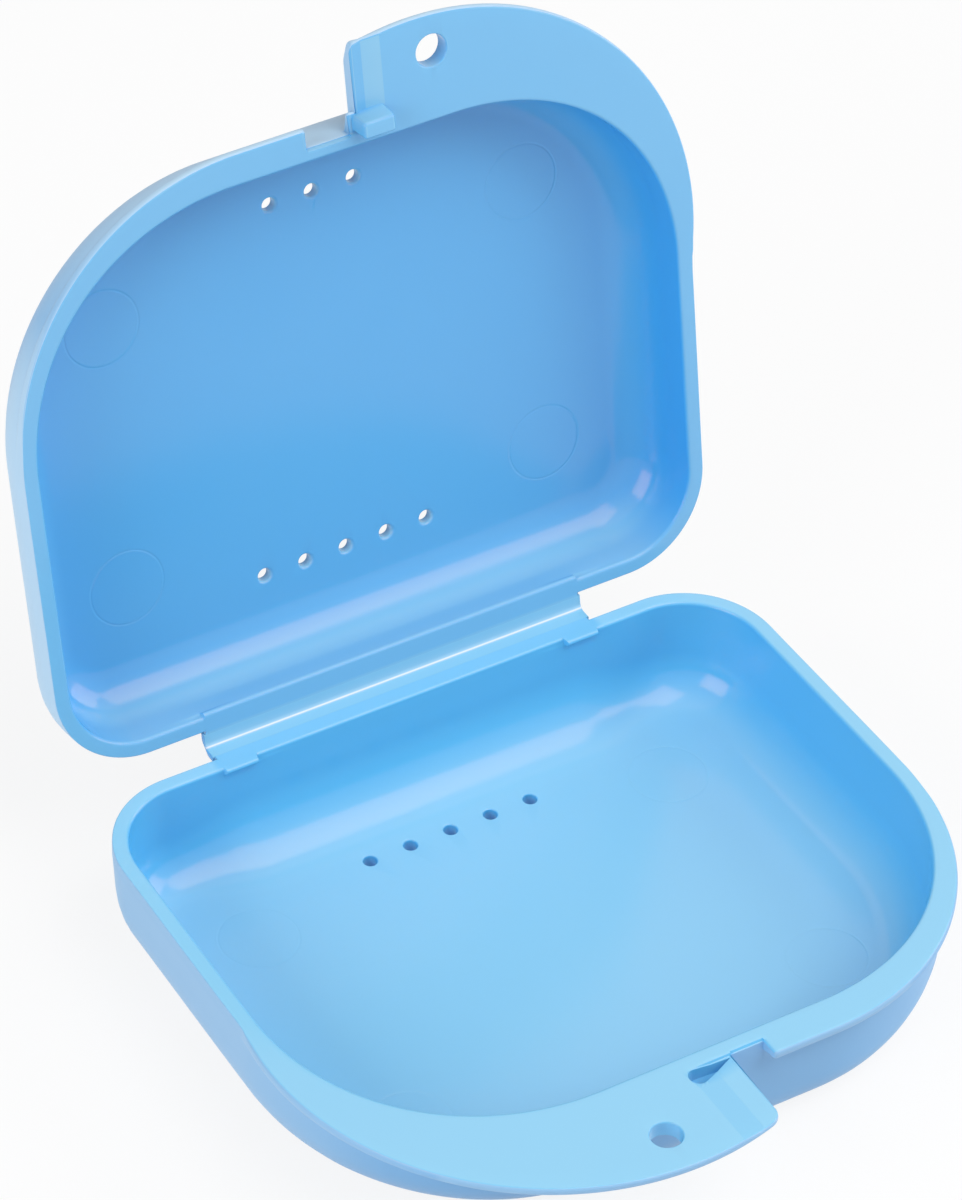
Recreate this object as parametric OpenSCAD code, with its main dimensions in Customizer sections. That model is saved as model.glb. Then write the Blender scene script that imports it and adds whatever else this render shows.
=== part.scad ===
// Orthodontic retainer case, drawn open, in millimetres.
// +Z is up, +X runs along the hinge and -Y is the front, where the thumb tabs are.
// The origin is the middle of the tray's flat underside.

/* [Outline] */
// Width across the sides
case_w = 80; // [70:0.5:100]
// Depth of the tray, from the outside of its back wall to the front of its rim lip
tray_d = 64.6; // [58:0.2:80]
// Outside radius of the two corners beside the hinge
back_corner_r = 10.2; // [9.4:0.1:13]
// Outside radius of the two corners beside the thumb tabs
front_corner_r = 27; // [20:0.5:29]

/* [Shells] */
// Height of the base, from its underside to its rim
base_h = 13.8; // [12:0.1:22]
// Height of the lid, from its rim to its top
lid_h = 10.2; // [9.8:0.1:18]
// Thickness of the side walls
side_wall = 1.8; // [1.4:0.1:2.4]
// Thickness of the back walls
back_wall = 1.7; // [1.4:0.1:2.6]
// Thickness of the front walls, below the rim lip
front_wall = 2; // [1.9:0.1:3]
// How far the rim lip stands out in front of the front wall
rim_lip = 2.2; // [1.8:0.1:3]
// Thickness of the rim lip
rim_lip_t = 1.3; // [1:0.1:1.5]
// Radius of the rim lip's two corners
lip_corner_r = 27.4; // [20.5:0.1:29.5]
// How far the sides of the rim lip's curves lie inside the sides of the case
lip_side_in = 0.12; // [0.08:0.02:0.4]
// Thickness of the base's floor and of the lid's top
floor_t = 1.6; // [1:0.1:2.4]
// Radius of the outside edge between floor and walls
outer_edge_r = 7.4; // [4:0.1:7.8]
// Radius of the inside fillet between floor and walls
inner_fillet_r = 6; // [3:0.1:6.4]
// Width of the level border that the walls keep beside the floor panel and the top panel
panel_border = 0.4; // [0.2:0.1:1]

/* [Vents] */
// Diameter of a vent
vent_d = 1.5; // [1:0.1:2.5]
// Distance between neighbouring vents
vent_pitch = 5; // [3.5:0.1:6.5]
// Number of vents in the row beside the hinge, in the base and in the lid
hinge_row_count = 5; // [3:2:7]
// Number of vents in the lid's front row
front_row_count = 3; // [1:2:5]
// Distance from the back wall's outside to the row beside the hinge
hinge_row_in = 10.2; // [9:0.1:14]
// Distance from the rim lip's front to the lid's front row
front_row_in = 11.8; // [11:0.1:16]

/* [Thumb tabs] */
// Thickness of a thumb tab
tab_t = 1.8; // [1.6:0.1:2.4]
// Thickness that is left at a tab's outer edge
tab_lip = 0.8; // [0.5:0.1:1.2]
// Width of the sloping underside along a tab's outer edge
tab_taper = 1.8; // [0.8:0.1:2]
// How far a tab stands out in front of the rim lip
tab_reach = 8.6; // [7.5:0.1:12]
// Radius of a tab's curved outer edge
tab_r = 31.6; // [29.5:0.1:34]
// How far the side of a tab's curve stands out from the side of the case
tab_side_out = 0.6; // [0.2:0.1:1]
// Radius of the outer corner at the square end of the base's tab
base_tab_corner_r = 2.6; // [1:0.1:4]
// Radius of the outer corner at the square end of the lid's tab
lid_tab_corner_r = 0.8; // [0.4:0.1:4]
// Place of the base tab's square end, to the right of the middle
base_step_x = 1.1; // [0.2:0.1:1.4]
// Place of the lid tab's square end, to the right of the middle
lid_step_x = 1.8; // [1.6:0.1:4]
// Width of the shallow slope beside a tab's square end
step_slope_w = 4.2; // [1:0.1:6]
// Depth of that slope at the square end
step_slope_drop = 0.35; // [0.1:0.05:0.6]

/* [Lanyard holes] */
// Diameter of the hole in each tab
lanyard_d = 3.6; // [2.5:0.1:4.5]
// Distance from the middle plane to the middle of a lanyard hole
lanyard_x = 10.6; // [8:0.1:14]
// Distance from a tab's front edge to the middle of its lanyard hole
lanyard_in = 4.4; // [4:0.1:6]

/* [Latch] */
// Thickness of the strip of front wall behind the notches and the pocket
latch_strip = 1.8; // [1.4:0.1:1.8]
// Length of the tongue
tongue_w = 3.6; // [3:0.1:6]
// Thickness of the tongue, from back to front
tongue_t = 1.5; // [0.8:0.1:1.6]
// How far the tongue stands below the lid's rim
tongue_h = 2.2; // [1.5:0.1:2.8]
// Depth of the base's notch and of its pocket, down from the rim
notch_depth = 3.3; // [3:0.1:5]
// Length of the pocket behind the base tab
pocket_w = 4.6; // [2:0.1:6]
// Width of the pocket at its far end
pocket_wide = 1.4; // [0.8:0.1:1.6]
// Width of the pocket at the square end
pocket_narrow = 0.4; // [0.3:0.1:0.6]
// Length of the notch in the lid's rim
lid_notch_w = 5.4; // [3:0.1:6]
// Depth of the notch in the lid, up from its rim
lid_notch_depth = 2.5; // [1.6:0.1:2.6]

/* [Hinge] */
// Length of the hinge strap
strap_l = 46.4; // [36:0.2:52]
// Distance from the outside of the back walls to the fold line
leaf_l = 1.9; // [1.5:0.1:3]
// Thickness of the two leaves
leaf_t = 0.75; // [0.5:0.05:0.8]
// Outside radius of the rolled film
film_r = 1; // [0.95:0.05:1.3]
// Thickness of the film
film_t = 0.45; // [0.25:0.05:0.6]
// Length of each ear at the ends of the hinge
ear_l = 4; // [2:0.1:6]
// How far the ears stand in from the back wall's inside
ear_t = 0.5; // [0.3:0.1:1.2]
// Depth of the relief in the back wall between the ears
ear_relief = 0.3; // [0.2:0.05:0.8]
// Height of the ears and of the relief between them
ear_h = 1.2; // [0.8:0.1:4]
// How far the lid's hinge rib stands in from the back wall's inside
rib_t = 0.4; // [0.3:0.1:1.2]
// Height of the lid's hinge rib
rib_h = 1.6; // [1:0.1:2.5]

/* [Fit and pose] */
// Gap between the two rims when the case is shut
rim_gap = 0.2; // [0.1:0.05:0.4]
// Gap on each side of the latch tongue in its notch
latch_gap = 0.25; // [0.2:0.05:0.4]
// How far the lid is open, from shut
lid_open = 102.4; // [0:0.2:180]

/* [Hidden] */

$fn = 96;
case_colour = "#7cc3f0";
film_colour = "#a9dcfb";
// How far a cutting solid runs past the face that it cuts
over = 1;
// Flats in a quarter circle of a rounded edge
edge_steps = 9;
corner_steps = 8;
// Share of the turn at a tab's corner that is round, before it runs straight into the curved edge
corner_share = 0.8;

back_y = tray_d / 2;
front_y = -tray_d / 2;
hinge_y = back_y + leaf_l;
hinge_z = base_h + rim_gap / 2;
lid_rim_z = base_h + rim_gap;
wall_front_y = front_y + rim_lip;
// Outer face of the strip that the latch tongue slides down
strip_y = wall_front_y + front_wall - latch_strip;
inner_back_y = back_y - back_wall;
inner_front_y = wall_front_y + front_wall;
hinge_row_y = back_y - hinge_row_in;
front_row_y = front_y + front_row_in;
tab_x = case_w / 2 + tab_side_out - tab_r;
tab_y = front_y - tab_reach + tab_r;
lanyard_y = front_y - tab_reach + lanyard_in;

// A plan is [half width, back y, front y, back corner radius, front corner radius]
wall_plan = [case_w / 2, back_y, wall_front_y, back_corner_r, front_corner_r];
cavity_plan = [case_w / 2 - side_wall, inner_back_y, inner_front_y,
               back_corner_r - side_wall, front_corner_r - side_wall];

// The flat panel inside the fillet
panel_in = inner_fillet_r + panel_border;
panel_plan = [cavity_plan[0] - panel_in, cavity_plan[1] - panel_in, cavity_plan[2] + panel_in,
              cavity_plan[3] - panel_in, cavity_plan[4] - panel_in];

function back_radius(plan) = plan[3];
function front_radius(plan) = plan[4];
function back_centre(plan) = [plan[0] - plan[3], plan[1] - plan[3]];
function front_centre(plan) = [plan[0] - plan[4], plan[2] + plan[4]];
function unit(angle) = [cos(angle), sin(angle)];
// Whole microns, so that sides and corners meet exactly
function micron(v) = round(v * 1000) / 1000;

// Section of a solid with a rounded lower edge: reach is its width and edge the radius
function edge_section(reach, height, edge) = concat(
    [[0, 0]],
    [for (i = [0 : edge_steps])
        let (turn = edge * unit(-90 + 90 * i / edge_steps))
        [micron(reach - edge + turn.x), micron(edge + turn.y)]],
    [[reach, height], [0, height]]);

// A quarter turn that makes one rounded corner, from the given direction on
module corner_turn(centre, radius, from, height, edge) {
    translate(centre)
        rotate([0, 0, from])
            rotate_extrude(angle = 90)
                polygon(edge_section(radius, height, edge));
}

// One straight side, drawn from its starting end, facing the given direction
module straight_side(start, facing, length, depth, height, edge) {
    translate(start)
        rotate([90, 0, facing])
            linear_extrude(length)
                translate([-depth, 0])
                    polygon(edge_section(depth, height, edge));
}

// The block between the sides and the corners
module plan_core(plan, depth, height) {
    back_c = back_centre(plan);
    front_c = front_centre(plan);
    side_x = plan[0] - depth;
    right = [[front_c.x, plan[2] + depth], front_c, [side_x, front_c.y],
             [side_x, back_c.y], back_c, [back_c.x, plan[1] - depth]];
    left = [for (i = [5 : -1 : 0]) [-right[i].x, right[i].y]];
    linear_extrude(height)
        polygon(concat(right, left));
}

// A D-shaped solid with a rounded lower edge all round
module rounded_form(plan, height, edge) {
    back_c = back_centre(plan);
    front_c = front_centre(plan);
    depth = (edge + back_radius(plan)) / 2;
    for (flip = [0, 1])
        mirror([flip, 0, 0]) {
            corner_turn(back_c, back_radius(plan), 0, height, edge);
            corner_turn(front_c, front_radius(plan), -90, height, edge);
            straight_side([plan[0], back_c.y], 0, back_c.y - front_c.y, depth, height, edge);
        }
    straight_side([-back_c.x, plan[1]], 90, 2 * back_c.x, depth, height, edge);
    straight_side([front_c.x, plan[2]], -90, 2 * front_c.x, depth, height, edge);
    plan_core(plan, depth, height);
}

// Outline of a plan, once round, each corner in short flats
function plan_outline(plan) =
    let (front_c = front_centre(plan))
    let (back_c = back_centre(plan))
    let (right = concat(
        [for (i = [0 : corner_steps]) front_c + front_radius(plan) * unit(-90 + 90 * i / corner_steps)],
        [for (i = [0 : corner_steps]) back_c + back_radius(plan) * unit(90 * i / corner_steps)]))
    concat(right, [for (i = [len(right) - 1 : -1 : 0]) [-right[i].x, right[i].y]]);

// A row of vents along X, in the middle of the case
module vent_row(count, y) {
    for (i = [0 : count - 1])
        translate([(i - (count - 1) / 2) * vent_pitch, y, -over])
            cylinder(d = vent_d, h = floor_t + 2 * over);
}

// The flat panel of a shell, from low to high
module panel(low, high) {
    translate([0, 0, low])
        linear_extrude(high - low)
            polygon(plan_outline(panel_plan));
}

// The lip along the front of the rim, which fades out at the sides, from z = 0 up
module rim_lip_plate(thickness) {
    centre = [case_w / 2 - lip_side_in - lip_corner_r, front_y + lip_corner_r];
    for (flip = [0, 1])
        mirror([flip, 0, 0])
            translate(centre)
                rotate([0, 0, -90])
                    rotate_extrude(angle = 90)
                        square([lip_corner_r, thickness]);
    span([-centre.x, front_y, 0], [centre.x, centre.y, thickness]);
}

// The full form of a shell with its mouth up, drawn on past its rim by extra
module shell_form(height, extra) {
    rounded_form(wall_plan, height + extra, outer_edge_r);
    translate([0, 0, height - rim_lip_t])
        rim_lip_plate(rim_lip_t + extra);
}

// The wall of a shell with its mouth up, with its rounded lower edge, its fillet and its rim lip
module shell_wall(height) {
    difference() {
        shell_form(height, 0);
        translate([0, 0, floor_t])
            rounded_form(cavity_plan, height, inner_fillet_r);
        panel(-over, floor_t + over);
    }
}

// A block given by its lowest and highest corner
module span(low, high) {
    translate(low)
        cube(high - low);
}

// Half of the section of a tab's disc: thin at the edge, with a sloping underside
function tab_section() = [[0, -tab_t], [tab_r - tab_taper, -tab_t], [tab_r, -tab_lip], [tab_r, 0], [0, 0]];

// What is kept of the disc on the left of a square end, with the end's outer corner rounded
function tab_keep(step_x, corner_r) =
    let (corner_x = step_x - corner_r)
    let (corner_y = tab_y - sqrt(pow(tab_r - corner_r, 2) - pow(corner_x + tab_x, 2)))
    let (turn = corner_share * atan2(corner_y - tab_y, corner_x + tab_x))
    let (arc = [for (i = [0 : corner_steps])
        [corner_x, corner_y] + corner_r * unit(turn * i / corner_steps)])
    concat([[-case_w, tab_y], [step_x, tab_y]], arc,
           [arc[corner_steps] + case_w * unit(turn - 90), [-case_w, -2 * case_w]]);

// A tab with its flat face up at z = 0 and its square end at step_x, on the left of a shell
module left_tab(step_x, corner_r, shell_h) {
    difference() {
        intersection() {
            translate([-tab_x, tab_y, 0])
                rotate_extrude()
                    polygon(tab_section());
            translate([0, 0, -tab_t - over])
                linear_extrude(tab_t + 2 * over)
                    polygon(tab_keep(step_x, corner_r));
        }
        translate([0, 0, -shell_h])
            shell_form(shell_h, over);
        translate([-lanyard_x, lanyard_y, -tab_t - over])
            cylinder(d = lanyard_d, h = tab_t + 2 * over);
        step_slope(step_x);
    }
}

// The shallow wedge that lowers a tab's face towards its square end
module step_slope(step_x) {
    high_x = step_x - step_slope_w;
    low_x = step_x + over;
    low_z = -step_slope_drop * (low_x - high_x) / step_slope_w;
    translate([0, front_y, 0])
        rotate([90, 0, 0])
            linear_extrude(tab_reach + over)
                polygon([[high_x, 0], [low_x, low_z], [low_x, over], [high_x, over]]);
}

// Moves a piece that is drawn on the shut lid to where the open lid is
module on_open_lid() {
    translate([0, hinge_y, hinge_z])
        rotate([-lid_open, 0, 0])
            translate([0, -hinge_y, -hinge_z])
                children();
}

// Turns a piece that is drawn mouth up over, so that its mouth lies on the lid's rim plane
module as_shut_lid(height) {
    translate([0, 0, lid_rim_z + height])
        mirror([0, 0, 1])
            children();
}

// One hinge leaf on the base's side of the fold, its top at the base's rim
module leaf_plate() {
    difference() {
        span([-strap_l / 2, back_y, base_h - leaf_t], [strap_l / 2, hinge_y, base_h]);
        translate([-strap_l / 2 - over, hinge_y, hinge_z])
            rotate([0, 90, 0])
                cylinder(r = film_r, h = strap_l + 2 * over);
    }
}

// Both rows of vents in the lid
module lid_vents() {
    vent_row(hinge_row_count, hinge_row_y);
    vent_row(front_row_count, front_row_y);
}

module base_floor() {
    color(case_colour)
        difference() {
            panel(0, floor_t);
            vent_row(hinge_row_count, hinge_row_y);
        }
}

module base_wall() {
    color(case_colour)
        difference() {
            shell_wall(base_h);
            vent_row(hinge_row_count, hinge_row_y);
            // Open notch that takes the lid's tongue
            span([base_step_x, front_y - over, base_h - notch_depth],
                 [base_step_x + tongue_w + 2 * latch_gap, strip_y, base_h + over]);
            // Pocket behind the tab, which narrows towards the tab's square end
            translate([base_step_x, strip_y, base_h - notch_depth])
                linear_extrude(notch_depth + over)
                    polygon([[0, 0], [-pocket_w, 0], [-pocket_w, -pocket_wide], [0, -pocket_narrow]]);
            // Relief between the ears
            span([-strap_l / 2 + ear_l, inner_back_y - over, base_h - ear_h],
                 [strap_l / 2 - ear_l, inner_back_y + ear_relief, base_h + over]);
        }
}

module base_thumb_tab() {
    color(case_colour)
        translate([0, 0, base_h])
            left_tab(base_step_x, base_tab_corner_r, base_h);
}

module base_hinge_leaf() {
    color(case_colour)
        leaf_plate();
}

module hinge_ears() {
    color(case_colour)
        for (side = [0, 1])
            mirror([side, 0, 0])
                span([strap_l / 2 - ear_l, inner_back_y - ear_t, base_h - ear_h],
                     [strap_l / 2, inner_back_y, base_h]);
}

// The film rolls round the fold line, from the base's leaf to the lid's
module hinge_film() {
    rim_angle = asin(rim_gap / 2 / film_r);
    color(film_colour)
        translate([-strap_l / 2, hinge_y, hinge_z])
            rotate([90, 0, 90])
                rotate([0, 0, 180 + rim_angle])
                    rotate_extrude(angle = 360 - lid_open - 2 * rim_angle)
                        translate([film_r - film_t, 0])
                            square([film_t, strap_l]);
}

module lid_top() {
    color(case_colour)
        on_open_lid()
            as_shut_lid(lid_h)
                difference() {
                    panel(0, floor_t);
                    lid_vents();
                }
}

module lid_wall() {
    color(case_colour)
        on_open_lid()
            as_shut_lid(lid_h)
                difference() {
                    shell_wall(lid_h);
                    lid_vents();
                    // Notch in the rim, beside the tongue
                    span([base_step_x - lid_notch_w, front_y - over, lid_h - lid_notch_depth],
                         [base_step_x, strip_y, lid_h + over]);
                }
}

module lid_thumb_tab() {
    color(case_colour)
        on_open_lid()
            as_shut_lid(0)
                mirror([1, 0, 0])
                    left_tab(-lid_step_x, lid_tab_corner_r, lid_h);
}

module latch_tongue() {
    color(case_colour)
        on_open_lid()
            translate([base_step_x + latch_gap, strip_y - latch_gap - tongue_t, lid_rim_z - tongue_h])
                cube([tongue_w, tongue_t, tongue_h]);
}

module lid_hinge_leaf() {
    color(case_colour)
        on_open_lid()
            translate([0, 0, lid_rim_z + base_h])
                mirror([0, 0, 1])
                    leaf_plate();
}

module lid_hinge_rib() {
    color(case_colour)
        on_open_lid()
            span([-strap_l / 2, inner_back_y - rib_t, lid_rim_z],
                 [strap_l / 2, inner_back_y, lid_rim_z + rib_h]);
}

base_floor();
base_wall();
base_thumb_tab();
base_hinge_leaf();
hinge_ears();
hinge_film();
lid_top();
lid_wall();
lid_thumb_tab();
latch_tongue();
lid_hinge_leaf();
lid_hinge_rib();
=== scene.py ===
"""Dressed retainer case: two light blue polypropylene shells, the film that joins them and the snap latch.

Sizes are in millimetres and become metres when a mesh is made. A shell is worked out mouth up, with its thumb
tab towards +X, and is then mirrored or turned over into its place.
"""

import logging
import math
from dataclasses import dataclass, replace
from enum import Enum
from typing import Any

import bpy
import numpy as np
from mathutils import Matrix


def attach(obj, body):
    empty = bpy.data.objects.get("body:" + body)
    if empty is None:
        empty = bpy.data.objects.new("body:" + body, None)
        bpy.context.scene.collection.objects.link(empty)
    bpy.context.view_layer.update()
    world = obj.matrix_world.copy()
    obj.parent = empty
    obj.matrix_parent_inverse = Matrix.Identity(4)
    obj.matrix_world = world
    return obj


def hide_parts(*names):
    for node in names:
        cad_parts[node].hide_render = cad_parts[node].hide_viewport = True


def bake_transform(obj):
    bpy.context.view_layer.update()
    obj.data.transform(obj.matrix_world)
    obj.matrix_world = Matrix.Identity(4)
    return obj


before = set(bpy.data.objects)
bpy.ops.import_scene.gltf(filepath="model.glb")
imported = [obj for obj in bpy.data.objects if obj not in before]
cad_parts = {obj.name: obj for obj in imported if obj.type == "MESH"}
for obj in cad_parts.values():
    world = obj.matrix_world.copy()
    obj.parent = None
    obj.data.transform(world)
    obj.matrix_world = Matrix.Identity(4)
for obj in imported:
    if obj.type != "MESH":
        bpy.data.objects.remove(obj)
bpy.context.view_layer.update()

LOG = logging.getLogger("retainer_case")
MM = 0.001
IMAGE_HEIGHT = 1200
# Y and Z of the fold line, how far the lid is open in degrees, and the gap between the rims when it is shut
FOLD = (34.2, 13.9)
LID_OPEN = 102.4
RIM_GAP = 0.2
# Height of the base's floor, and of the inside of the lid's top when it is shut
BASE_FLOOR_Z = 1.6
LID_TOP_Z = 22.6
# Slack when places of columns are compared, the least distance between two, and that of twins at a square end
SLACK = 1e-6
LEAST_STEP = 1e-3
TWIN_GAP = 0.02
# Sides of a round cutter, how far it starts before the far face and goes on past the near one, and the angle in
# degrees of the arc that rounds its rim
HOLE_SIDES = 40
HOLE_PAST = 0.8
HOLE_ON = 0.9
HOLE_ARC = 84.0
# Angles in degrees above which edges stay sharp, on the shells and on the small pieces
SHELL_SHARP = 38.0
SMALL_SHARP = 40.0
SENSOR_HEIGHT = 24.0
WHITE = (1.0, 1.0, 1.0, 1.0)
Array = np.ndarray
Solid = tuple[Array, list[list[int]]]


class Turn(Enum):
    """How a shell that was worked out mouth up comes into its place."""

    TAB_LEFT = "mirrored in X, mouth up"
    OPEN_LID = "turned over and swung open on the fold"


# Directions out of the mouths of the two shells, and from the fold towards their tabs
MOUTH = {Turn.TAB_LEFT: (0.0, 0.0, 1.0),
         Turn.OPEN_LID: (0.0, -math.sin(math.radians(LID_OPEN)), -math.cos(math.radians(LID_OPEN)))}
AHEAD = {Turn.TAB_LEFT: (0.0, -1.0, 0.0),
         Turn.OPEN_LID: (0.0, -math.cos(math.radians(LID_OPEN)), math.sin(math.radians(LID_OPEN)))}
# How far the floors lie behind the fold, along the way out of the mouth
FLOOR_LEVEL = {Turn.TAB_LEFT: -12.3, Turn.OPEN_LID: -8.7}


def smooth(low: float, high: float, value: Array) -> Array:
    """Smoothstep: 0 up to low, 1 from high on, and an even S between them."""
    t = np.clip((np.asarray(value, float) - low) / (high - low), 0.0, 1.0)
    return t * t * (3.0 - 2.0 * t)


def soft_positive(value: Array, blur: float) -> Array:
    """Rounded maximum with 0: half the sum of the value and the root of its square plus the blur's."""
    return 0.5 * (value + np.sqrt(value ** 2 + blur ** 2))


def linear(code: str) -> tuple[float, float, float, float]:
    """Turns an sRGB colour code into a linear colour: a straight line near black, else a power of 2.4.

    Args:
        code: Six hexadecimal digits.

    Returns:
        Red, green, blue and full alpha.
    """
    parts = [int(code[i:i + 2], 16) / 255.0 for i in (0, 2, 4)]
    red, green, blue = (c / 12.92 if c <= 0.04045 else ((c + 0.055) / 1.055) ** 2.4 for c in parts)
    return red, green, blue, 1.0


def rounded_path(keys: Array, reach: Array, arc_points: list[int], edge_points: list[int]) -> Array:
    """Rounds the corners of many section outlines at once.

    Every corner becomes a circular arc that leaves both edges at the same distance, written as a rational
    quadratic curve whose middle weight is the sine of half the corner's angle. Where two arcs would meet on
    an edge, both shrink in proportion.

    Args:
        keys: Corner points, sections by corners by two.
        reach: Distance from each corner at which its arc starts, sections by corners.
        arc_points: Points on the arc of each corner; the first and last corner have one.
        edge_points: Extra points between two arcs, one number per edge.

    Returns:
        Points along every section, sections by points by two.
    """
    edge = np.diff(keys, axis=1)
    length = np.linalg.norm(edge, axis=2)
    way = edge / length[..., None]
    total = reach[:, :-1] + reach[:, 1:]
    share = np.minimum(1.0, length / np.maximum(total, 1e-9))
    last = keys.shape[1] - 1
    rows: list[Array] = []
    for j in range(last + 1):
        if j in (0, last):
            arc = keys[:, j:j + 1]
        else:
            back, ahead = -way[:, j - 1], way[:, j]
            d = (reach[:, j] * np.minimum(share[:, j - 1], share[:, j]))[:, None]
            weight = np.sqrt(np.clip((1.0 - np.sum(back * ahead, axis=1)) / 2.0, 0.0, 1.0))[:, None, None]
            q = np.linspace(0.0, 1.0, arc_points[j])[None, :, None]
            corner = keys[:, j]
            start, middle, end = (p[:, None, :] for p in (corner + d * back, corner, corner + d * ahead))
            a, b, c = (1 - q) ** 2, 2 * q * (1 - q) * weight, q ** 2
            arc = (a * start + b * middle + c * end) / (a + b + c)
        if rows:
            before, after = rows[-1][:, -1:], arc[:, :1]
            q = (np.arange(1, edge_points[j - 1] + 1) / (edge_points[j - 1] + 1))[None, :, None]
            rows.append(before + (after - before) * q)
        rows.append(arc)
    return np.concatenate(rows, axis=1)


def grid_faces(rows: int, columns: int) -> Array:
    """Quads of a grid whose columns close on themselves; vertex numbers are row times columns plus column.

    Args:
        rows: Rows of vertices.
        columns: Vertices in a row.

    Returns:
        Four vertex numbers for each quad, rows less one by columns by four.
    """
    i = np.arange(columns)
    j = np.arange(rows - 1)[:, None]
    right = (i + 1) % columns
    near, far = j * columns, (j + 1) * columns
    return np.stack([near + i, near + right, far + right, far + i], -1)


def tube_faces(rows: int, columns: int) -> list[list[int]]:
    """Faces of such a grid as a list, with one face across each of its two open ends.

    Args:
        rows: Rows of vertices.
        columns: Vertices in a row.

    Returns:
        Vertex numbers of each face.
    """
    last = (rows - 1) * columns
    ends = [list(range(columns - 1, -1, -1)), list(range(last, last + columns))]
    return grid_faces(rows, columns).reshape(-1, 4).tolist() + ends


def make_mesh(name: str, points: Array, faces: list[list[int]], slots: Array | None = None) -> bpy.types.Object:
    """Puts worked-out points and faces into an object at the origin.

    Args:
        name: Name of the object.
        points: Places in millimetres, count by three.
        faces: Vertex numbers of each face, counter-clockwise seen from outside.
        slots: Material slot of each face.

    Returns:
        The linked object.
    """
    mesh = bpy.data.meshes.new(name)
    mesh.from_pydata((points * MM).tolist(), [], faces)
    if slots is not None:
        mesh.polygons.foreach_set("material_index", slots.astype(np.int32))
    mesh.validate()
    piece = bpy.data.objects.new(name, mesh)
    bpy.context.scene.collection.objects.link(piece)
    return piece


def soften(piece: bpy.types.Object, degrees: float) -> None:
    """Shades a piece smoothly and keeps the edges that turn by more than the angle."""
    piece.data.polygons.foreach_set("use_smooth", np.ones(len(piece.data.polygons), bool))
    piece.data.set_sharp_from_angle(angle=math.radians(degrees))


def even_normals(mesh: bpy.types.Mesh) -> Array:
    """Normals at the vertices: the sum of the normals of the faces round each, weighed by their areas.

    Args:
        mesh: The mesh to read.

    Returns:
        Directions of length one, count by three.
    """
    faces, loops = len(mesh.polygons), len(mesh.loops)
    area, normal = np.empty(faces), np.empty(faces * 3)
    sides, corner = np.empty(faces, np.int32), np.empty(loops, np.int32)
    for name, store in (("area", area), ("normal", normal), ("loop_total", sides)):
        mesh.polygons.foreach_get(name, store)
    mesh.loops.foreach_get("vertex_index", corner)
    total = np.zeros((len(mesh.vertices), 3))
    np.add.at(total, corner, np.repeat(normal.reshape(-1, 3) * area[:, None], sides, axis=0))
    return total / np.maximum(np.linalg.norm(total, axis=1), 1e-12)[:, None]


def recalculate(piece: bpy.types.Object) -> None:
    """Turns a closed mesh inside out if its volume, from the triple products of its triangles, is negative.

    Args:
        piece: The piece, whose faces all point in or all point out.
    """
    mesh = piece.data
    mesh.calc_loop_triangles()
    corner = np.empty(len(mesh.loop_triangles) * 3, np.int32)
    mesh.loop_triangles.foreach_get("vertices", corner)
    place = np.empty(len(mesh.vertices) * 3)
    mesh.vertices.foreach_get("co", place)
    a, b, c = np.moveaxis(place.reshape(-1, 3)[corner.reshape(-1, 3)], 1, 0)
    if np.sum(a * np.cross(b, c)) < 0.0:
        mesh.flip_normals()


def write_values(piece: bpy.types.Object, name: str, values: Array) -> None:
    """Stores one number per vertex as an attribute of a piece's mesh."""
    piece.data.attributes.new(name, "FLOAT", "POINT").data.foreach_set("value", values.astype(np.float32))


def set_axes(item: bpy.types.Object, axes: tuple[Array, Array, Array], at: Array) -> None:
    """Places a camera or a lamp by its axes, which become the columns of its matrix, and links it.

    Args:
        item: The camera or lamp.
        axes: Its right, up and backward directions.
        at: Its place in metres.
    """
    matrix = Matrix.Identity(4)
    for k, column in enumerate((*axes, at)):
        for row in range(3):
            matrix[row][k] = float(column[row])
    item.matrix_world = matrix
    bpy.context.scene.collection.objects.link(item)


def cut_away(piece: bpy.types.Object, cutter: bpy.types.Object) -> None:
    """Takes the cutter's form out of a piece for good and removes the cutter.

    Args:
        piece: The piece, which gets a new mesh.
        cutter: The form to take away.
    """
    cut = piece.modifiers.new("cut", "BOOLEAN")
    cut.operation, cut.solver, cut.object = "DIFFERENCE", "EXACT", cutter
    bpy.context.view_layer.update()
    result = bpy.data.meshes.new_from_object(piece.evaluated_get(bpy.context.evaluated_depsgraph_get()))
    piece.modifiers.clear()
    old, piece.data = piece.data, result
    spent = (old, cutter.data)
    bpy.data.objects.remove(cutter)
    for mesh in spent:
        bpy.data.meshes.remove(mesh)
    result.name = piece.name


def swing_open(points: Array) -> Array:
    """Turns places on the shut lid about the fold line, by the sine and cosine of the lid's angle.

    Args:
        points: Places on the shut lid, count by three.

    Returns:
        The same places on the open lid.
    """
    a, b = points[:, 1] - FOLD[0], points[:, 2] - FOLD[1]
    c, s = math.cos(math.radians(LID_OPEN)), math.sin(math.radians(LID_OPEN))
    return np.stack([points[:, 0], FOLD[0] + a * c + b * s, FOLD[1] - a * s + b * c], 1)


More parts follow.
